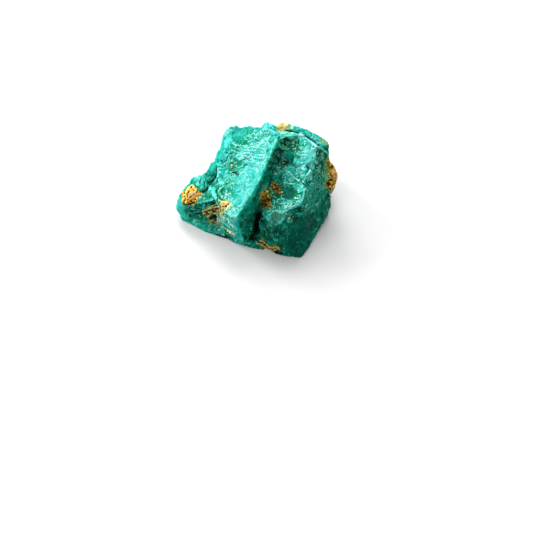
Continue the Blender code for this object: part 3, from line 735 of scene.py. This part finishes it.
def layering(points, facing):
    """Shallow terraces on the faces that lie along the layers, and ribs on the faces that cut them."""
    warp = sum(reach * smooth_noise(points, size, seed) for reach, size, seed in LAYER_WARP)
    level = (points @ LAYER + warp) / LAYER_STEP
    within = level - np.floor(level)
    patches = smoothstep(-0.5, 0.6, smooth_noise(points, 4.0, 4))
    along = smoothstep(0.75, 0.97, facing) * (0.35 + 0.65 * patches)
    across = (1.0 - smoothstep(0.3, 0.7, np.abs(facing))) * patches
    terraces = 0.62 * along * (smoothstep(0.7, 1.0, within) - within) * LAYER_STEP
    ribs = 0.1 * across * (smoothstep(0.1, 0.3, within) - smoothstep(0.6, 0.9, within) - 0.3)
    return terraces, ribs


def chips(points, facing):
    """Broken chips, each a small tilted facet: their height, and numbers of their own for the tone."""
    strength = 0.3 + 0.7 * (1.0 - smoothstep(0.8, 0.97, facing))
    height = np.zeros(len(points))
    own = np.zeros(len(points))
    for size, tilt, seed in CHIPS:
        wobble = np.stack([smooth_noise(points, size, seed + 3 + k) for k in range(3)], axis=1)
        offset, numbers = cells_of(points + 0.12 * size * wobble, size, seed)[1:]
        lean = numbers * 2.0 - 1.0
        height += tilt * np.clip(np.sum(offset * lean, axis=1), -size, size) * strength
        own += lean[:, 1]
    return height, own


def limonite(points):
    """A raised gritty crust: its height, and its small holes."""
    distance, _, numbers = cells_of(points, 0.62, 61)
    lumps = 0.26 * (0.55 - distance) + 0.1 * (numbers[:, 0] - 0.5)
    lumps += 0.34 * (0.5 - cells_of(points, 1.4, 64)[0])
    holes = smoothstep(0.42, 0.62, smooth_noise(points, 0.62, 62))
    return 0.05 + lumps - 0.22 * holes, holes


def shape(piece):
    """Breaks the surface, and keeps the masks that the material reads."""
    skin = Surface(piece.data)
    masks = skin.masks
    sight = Sight(stone)
    free = smoothstep(*BASE_KEEP, skin.points[:, 2])[:, None]
    skin.points += (skin.blurred(skin.points, FACET_ROUNDS) - skin.points) * free
    points = skin.points
    normals = skin.normals(points)
    broad = skin.normals(skin.blurred(points, BROAD_ROUNDS))
    facing = broad @ LAYER
    hidden = 1.0 - smoothstep(-0.25, 0.0, broad @ TOWARDS_CAMERA)
    add_spots(skin, sight, broad, hidden)
    push = add_lines(skin, sight) + bulges(skin, sight)

    crust = masks["ochre"]
    clean = 1.0 - np.maximum(crust, 0.6 * masks["dark"])
    terraces, ribs = layering(points, facing)
    chip_height, chip_tone = chips(points, facing)
    crust_height, holes = limonite(points)
    masks["hole"] = crust * holes
    push += (ribs + chip_height) * clean + crust * crust_height
    push += 0.026 * smooth_noise(points, 0.6, 51) + 0.012 * smooth_noise(points, 0.36, 52)
    skin.points = points + (terraces * clean)[:, None] * LAYER * free
    masks["bead"] = spot_share(skin, sight.spots(BEADS), 0.2, 71)
    masks["bead"] *= 1.0 - spot_share(skin, sight.spots(CALM["disc"]), 0.0, 73)
    push += 0.16 * masks["bead"] * (0.5 - cells_of(points, 0.62, 72)[0])
    skin.points = skin.points + push[:, None] * normals * free
    skin.points[:, 2] = np.maximum(skin.points[:, 2], 0.0)
    # The tone mask: the stone's own tone with the painted light and shade of the faces.
    masks["tone"], masks["chalk"] = face_values(skin, sight, broad, facing)
    masks["tone"] = masks["tone"] + skin.blurred((0.05 + 0.1 * hidden) * chip_tone, 1)

    # How far each point stands out of its surroundings, closely and broadly; the material paints the stone
    # paler where it stands out and darker in hollows, as painted light and shade.
    close = skin.blurred(skin.points, CLOSE_ROUNDS)
    wide = skin.blurred(skin.points, WIDE_ROUNDS)
    shaped = skin.normals(skin.points)
    masks["edge"] = np.sum((skin.points - close) * shaped, axis=1) / EDGE_MM
    masks["ridge"] = np.sum((close - wide) * broad, axis=1) / RIDGE_MM
    skin.write_back()
    piece.data.shade_smooth()


# ---- material

class Value:
    """What a shader node gives, with arithmetic that adds the nodes for it."""

    def __init__(self, tree, socket):
        self.tree = tree
        self.socket = socket

    def __add__(self, other):
        return self.tree.math("ADD", self, other)

    def __sub__(self, other):
        return self.tree.math("SUBTRACT", self, other)

    def __mul__(self, other):
        return self.tree.math("MULTIPLY", self, other)

    def __rsub__(self, other):
        return self.tree.math("SUBTRACT", other, self)

    __radd__ = __add__
    __rmul__ = __mul__

    def fit(self, low, high, to_low=0.0, to_high=1.0):
        return self.tree.add("ShaderNodeMapRange", {"Value": self, "From Min": low, "From Max": high,
                                                    "To Min": to_low, "To Max": to_high})


class Tree:
    """The stone's shader nodes by short names, with the places in millimetres and the noises they share."""

    def __init__(self, material):
        material.use_nodes = True
        self.tree = material.node_tree
        self.shader = self.tree.nodes["Principled BSDF"]
        self.places = self.mapped(self.add("ShaderNodeTexCoord", {}, "Object"), Scale=(1 / MM,) * 3)
        self.bent = self.pushed(self.places, 0.8, 0.9)
        self.broad = self.noise(self.places, 0.3, 5.0, 0.6, 0.8)
        self.middle = self.noise(self.places, 0.9, 4.0, 0.6, 0.6)
        self.fine = self.noise(self.places, 2.4, 3.0, 0.6)

    def add(self, kind, inputs, output=0, **settings):
        node = self.tree.nodes.new(kind)
        for name, value in settings.items():
            setattr(node, name, value)
        for key, value in inputs.items():
            self.feed(node.inputs[key], value)
        return Value(self, node.outputs[output])

    def feed(self, socket, value):
        if isinstance(value, Value):
            self.tree.links.new(value.socket, socket)
        elif socket.type == "RGBA":
            socket.default_value = (*value, 1.0)
        else:
            socket.default_value = value

    def mask(self, name):
        return self.add("ShaderNodeAttribute", {}, "Fac", attribute_name=name)

    def math(self, operation, a, b=0.0):
        return self.add("ShaderNodeMath", {0: a, 1: b}, operation=operation)

    def noise(self, places, per_mm, detail=4.0, rough=0.55, bend=0.0, output="Fac"):
        return self.add("ShaderNodeTexNoise", {"Vector": places, "Scale": per_mm, "Detail": detail,
                                               "Roughness": rough, "Distortion": bend}, output)

    def cells(self, places, per_mm):
        return self.add("ShaderNodeTexVoronoi", {"Vector": places, "Scale": per_mm}, "Distance")

    def mapped(self, places, **inputs):
        return self.add("ShaderNodeMapping", {"Vector": places, **inputs})

    def pushed(self, places, per_mm, reach_mm):
        """The places pushed about by a soft noise."""
        push = self.noise(places, per_mm, 2.0, 0.5, 0.0, "Color")
        push = self.add("ShaderNodeVectorMath", {0: push, 1: (0.5, 0.5, 0.5)}, operation="SUBTRACT")
        push = self.add("ShaderNodeVectorMath", {0: push, "Scale": reach_mm}, operation="SCALE")
        return self.add("ShaderNodeVectorMath", {0: places, 1: push}, operation="ADD")

    def mix(self, share, a, b):
        return self.add("ShaderNodeMix", {0: share, 6: a, 7: b}, 2, data_type="RGBA")

    def ramp(self, value, stops):
        colour = self.add("ShaderNodeValToRGB", {"Fac": value})
        elements = colour.socket.node.color_ramp.elements
        while len(elements) < len(stops):
            elements.new(0.5)
        for element, (place, tone) in zip(elements, stops):
            element.position = place
            element.color = (*tone, 1.0)
        return colour


# Blue-green of the stone from its darkest to its palest tone, whose dark and pale ends also serve as painted
# shade and painted light, then the other colours (linear).
STONE_TONES_AND_SHADE = (
    (0.0, (0.0, 0.024, 0.014)), (0.25, (0.0, 0.094, 0.05)), (0.5, (0.001, 0.208, 0.127)),
    (0.75, (0.006, 0.35, 0.298)), (1.0, (0.08, 0.525, 0.48)),
)
CHALK = (0.5, 0.84, 0.77)
CHALK_GREEN = (0.3, 0.7, 0.46)
# Pale crests: partly chalk, partly painted highlight.
CREST_HIGHLIGHT = (0.16, 0.88, 0.78)
WHITE_CREST_HIGHLIGHT = (0.66, 0.95, 0.88)
SPARK = (0.02, 0.57, 0.42)
STILL_TEAL = (0.0, 0.088, 0.066)
DEEP_TEAL = (0.0, 0.1, 0.063)
# Bead colours: the dark green partly their own and partly painted shadow of the ridge, the gap colour
# painted shade between the beads.
BEAD_GREEN = (0.015, 0.13, 0.055)
BEAD_GAP_SHADE = (0.003, 0.04, 0.018)
BEAD_RING = (0.1, 0.38, 0.17)
BLACK_GREEN = (0.001, 0.008, 0.004)
BAND_GREEN = (0.001, 0.36, 0.235)
GLASS = (0.001, 0.3, 0.225)
PALE_GLASS = (0.1, 0.72, 0.66)
MOSS_TONES = (
    (0.0, (0.085, 0.16, 0.03)), (0.3, (0.15, 0.3, 0.07)), (0.45, (0.48, 0.58, 0.12)),
    (0.6, (0.1, 0.56, 0.25)), (0.8, (0.05, 0.215, 0.135)), (1.0, (0.45, 0.8, 0.42)),
)
CREAM = (0.92, 0.8, 0.36)
GRAIN_COLOUR = (0.8, 0.84, 0.66)
MUSTARD = (0.15, 0.14, 0.016)
UMBER = (0.01, 0.006, 0.002)
CRUST_TONES = (
    (0.08, UMBER), (0.22, (0.075, 0.045, 0.005)), (0.36, (0.19, 0.115, 0.012)), (0.52, (0.5, 0.27, 0.03)),
    (0.72, (0.86, 0.56, 0.11)), (0.95, CREAM),
)
PINK = (0.52, 0.29, 0.14)
# Contour lines: how fine and how bent their noise is, how many lines it has, and a shift of the places.
CONTOURS = ((0.42, 1.2, 4.4, 0.0), (0.85, 0.8, 3.2, 7.3))


def stone_green(t):
    """Tone of the blue-green stone: the face's own with its painted light and shade, mottled, and painted
    paler where it stands out and darker in hollows.
    """
    tone_light_and_shade, calm = t.mask("tone"), t.mask("calm")
    mottle = 0.6 * (t.broad - 0.5) + 0.9 * (t.middle - 0.5) + 0.5 * (t.fine - 0.5)
    gain = (1.25 - 0.8 * tone_light_and_shade) * (1.0 - 0.6 * calm)
    # Painted light on raised edges and ridges, and painted shade in hollows.
    painted_relief_light = t.mask("edge").fit(-1.0, 1.0, -1.0, 1.0) * (0.02 + 0.25 * tone_light_and_shade)
    painted_relief_light += 0.1 * t.mask("ridge").fit(-1.0, 1.0, -1.0, 1.0)
    colour = t.ramp(tone_light_and_shade - 0.08 * t.mask("chalk") + mottle * gain + painted_relief_light, STONE_TONES_AND_SHADE)
    # Calm faces that are dark, partly from painted shade, take an even deep teal.
    colour = t.mix(calm * tone_light_and_shade.fit(0.15, 0.5, 0.6, 0.0), colour, STILL_TEAL)
    glass = t.mix(t.mask("pale"), GLASS, PALE_GLASS)
    colour = t.mix(t.mask("turquoise") * t.middle.fit(0.25, 0.55), colour, glass)
    return t.mix(t.mask("band") * t.middle.fit(0.2, 0.5, 0.35, 1.0), colour, BAND_GREEN)


def pale_marks(t, colour):
    """Thin pale lines that wander like contours, dark flanks beside them, pale specks that are partly
    painted glints, haze, and crests that are partly painted highlight.
    """
    tone_light_and_shade, calm, chalky = t.mask("tone"), t.mask("calm"), t.mask("chalk")
    marks = flanks = 0.0
    for per_mm, bend, turns, shift in CONTOURS:
        spot = t.mapped(t.places, Location=(shift,) * 3)
        rings = t.math("PINGPONG", turns * t.noise(spot, per_mm, 3.0, 0.55, bend), 0.5)
        cover = (0.18 * (chalky - 0.5) + t.noise(spot, 0.7, 2.0)).fit(0.45, 0.54)
        marks = t.math("MAXIMUM", marks, cover * rings.fit(0.05, 0.11, 1.0, 0.0))
        flanks = t.math("MAXIMUM", flanks, cover * rings.fit(0.16, 0.34, 1.0, 0.0))
    curls = t.math("ABSOLUTE", t.cells(t.bent, 0.55) - 0.3)
    cover = (0.18 * (chalky - 0.5) + t.noise(t.bent, 0.8, 2.0)).fit(0.46, 0.56)
    marks = t.math("MAXIMUM", marks, cover * curls.fit(0.03, 0.07, 1.0, 0.0))
    flanks = t.math("MAXIMUM", flanks, cover * curls.fit(0.1, 0.2, 1.0, 0.0))
    # Pale stipple: partly chalky specks of the stone, partly painted glints.
    stipple = 0.07 * (chalky - 0.5) + t.noise(t.places, 2.6, 2.0, 0.6) + 0.22 * t.noise(t.places, 0.7, 2.0)
    marks = t.math("MAXIMUM", marks, stipple.fit(0.735, 0.77))
    colour = t.mix(flanks * (0.6 - 0.45 * calm), colour, DEEP_TEAL)
    white = chalky.fit(0.02, 0.8)
    chalk = t.mix(tone_light_and_shade.fit(0.5, 0.75), CHALK_GREEN, CHALK)
    bold = (0.9 + 0.02 * white) * (1.0 - 0.68 * calm)
    colour = t.mix(marks * bold, colour, t.mix(white, SPARK, chalk))
    colour = t.mix(t.mask("bloom") * chalky * t.broad.fit(0.4, 0.7, 0.0, 0.14), colour, chalk)
    # Painted highlight along the crests, mixed with their chalk.
    crest_highlight = t.mask("crest_highlight")
    whiter = t.mix(crest_highlight.fit(0.5, 0.9), CREST_HIGHLIGHT, WHITE_CREST_HIGHLIGHT)
    return t.mix(0.8 * crest_highlight * t.fine.fit(0.42, 0.56), colour, whiter)


def beads(t, colour):
    """Beads of the valley head: pale rings on dark green, with painted shade in the gaps between them; the
    dark green is partly their own and partly painted shadow of the ridge.
    """
    bead = t.mask("bead")
    pearls = t.cells(t.bent, 0.95)
    colour = t.mix(0.35 * bead, colour, BEAD_GREEN)
    colour = t.mix(bead * pearls.fit(0.42, 0.66, 0.0, 0.8), colour, BEAD_GAP_SHADE)
    rings = t.math("ABSOLUTE", pearls - 0.33).fit(0.03, 0.1, 1.0, 0.0)
    return t.mix(bead * rings * t.fine.fit(0.42, 0.56), colour, BEAD_RING)


def limonite_colour(t, colour, grit, ochre):
    """Moss-like halo, then the limonite: umber to cream, pinkish in places, with straws and dark holes."""
    moss = t.mask("moss") * t.middle.fit(0.34, 0.54, 0.0, 0.85)
    colour = t.mix(moss, colour, t.ramp(t.mask("fresh"), MOSS_TONES))
    ripe = t.mask("yellow") + 1.1 * (grit - 0.5) + 0.22 * t.mask("edge").fit(-1.5, 1.5, -1.0, 1.0)
    crust = t.mix(t.mask("pinkish") * t.fine.fit(0.3, 0.6, 0.3, 0.9), t.ramp(ripe, CRUST_TONES), PINK)
    colour = t.mix(ochre, colour, crust)
    straw = t.mask("straw") * t.noise(t.places, 3.4, 2.0).fit(0.4, 0.5, 0.15, 1.0)
    colour = t.mix(straw, colour, t.mix(t.mask("reed"), MUSTARD, CREAM))
    colour = t.mix(t.mask("hole"), colour, UMBER)
    # Cracks and pits in near-black: partly their own darkness, partly painted shade and painted shadow.
    colour = t.mix(0.95 * t.mask("dark"), colour, BLACK_GREEN)
    return t.mix(0.9 * t.mask("grain"), colour, GRAIN_COLOUR)


def stone_material():
    material = bpy.data.materials.new("chrysocolla_and_limonite")
    t = Tree(material)
    grit = t.noise(t.places, 1.5, 4.0, 0.62)
    ochre = (0.5 * grit + t.mask("ochre")).fit(0.55, 0.85)
    colour = beads(t, pale_marks(t, stone_green(t)))
    colour = limonite_colour(t, colour, grit, ochre)
    rough = t.middle.fit(0.3, 0.7, 0.5, 0.72) + 0.2 * ochre - 0.18 * t.mask("turquoise")
    grain = 0.6 * t.noise(t.places, 5.0, 4.0, 0.6) + 0.4 * t.cells(t.places, 3.2)
    bump = t.add("ShaderNodeBump", {"Height": grain, "Strength": 0.28, "Distance": 0.1 * MM})
    looks = {
        "Base Color": colour, "Roughness": rough, "Normal": bump, "Specular IOR Level": 0.04,
        "Subsurface Weight": 0.12, "Subsurface Radius": (0.15, 1.0, 0.85), "Subsurface Scale": 0.6 * MM,
    }
    for name, value in looks.items():
        t.feed(t.shader.inputs[name], value)
    return material


# ---- surroundings

FLOOR_ALBEDO = 0.62
FLOOR_HALF = 3.0
WORLD_STRENGTH = 0.521
LIGHT_AWAY = 0.6
LIGHT_SIZE = 0.3
LIGHT_UNIT_WATT = 1.131
# Soft lights: height and direction in degrees (180 is straight behind the stone, 270 its left), and share.
LIGHTS = {
    "low behind": (28, 200, 2.365),
    "low left behind": (28, 240, 2.764),
    "low left": (28, 280, 0.488),
    "behind right": (45, 150, 0.867),
    "behind": (45, 180, 1.947),
    "left front": (65, 315, 0.565),
}


def add_lights():
    for name, (height, direction, share) in LIGHTS.items():
        lamp = bpy.data.lights.new(name, "AREA")
        lamp.shape = "DISK"
        lamp.size = LIGHT_SIZE
        lamp.energy = LIGHT_UNIT_WATT * share
        up, turn = math.radians(height), math.radians(direction)
        way = Vector((math.sin(turn) * math.cos(up), -math.cos(turn) * math.cos(up), math.sin(up)))
        placed(name, lamp, way * LIGHT_AWAY, way.to_track_quat("Z", "Y").to_euler())
    world = bpy.data.worlds.new("studio")
    world.use_nodes = True
    background = world.node_tree.nodes["Background"]
    background.inputs["Color"].default_value = (1.0, 1.0, 1.0, 1.0)
    background.inputs["Strength"].default_value = WORLD_STRENGTH
    bpy.context.scene.world = world
    bpy.context.scene.view_settings.view_transform = "Standard"


def add_floor():
    mesh = bpy.data.meshes.new("floor")
    corners = [(x * FLOOR_HALF, y * FLOOR_HALF, 0.0) for x, y in ((-1, -1), (1, -1), (1, 1), (-1, 1))]
    mesh.from_pydata(corners, [], [(0, 1, 2, 3)])
    material = bpy.data.materials.new("pale_floor")
    material.use_nodes = True
    shader = material.node_tree.nodes["Principled BSDF"]
    shader.inputs["Base Color"].default_value = (FLOOR_ALBEDO,) * 3 + (1.0,)
    shader.inputs["Roughness"].default_value = 1.0
    shader.inputs["Specular IOR Level"].default_value = 0.0
    mesh.materials.append(material)
    placed("floor", mesh)


def add_camera():
    camera = bpy.data.cameras.new("camera")
    camera.lens = LENS_MM
    camera.sensor_width = SENSOR_MM
    camera.clip_start = 0.01
    bpy.context.scene.camera = placed("camera", camera, CAMERA_AT, (CAMERA_TILT, 0.0, 0.0))


add_camera()
add_lights()
add_floor()
piece = dense_copy(stone)
shape(piece)
piece.data.materials.append(stone_material())
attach(piece, "root")
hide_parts("chrysocolla_stone")
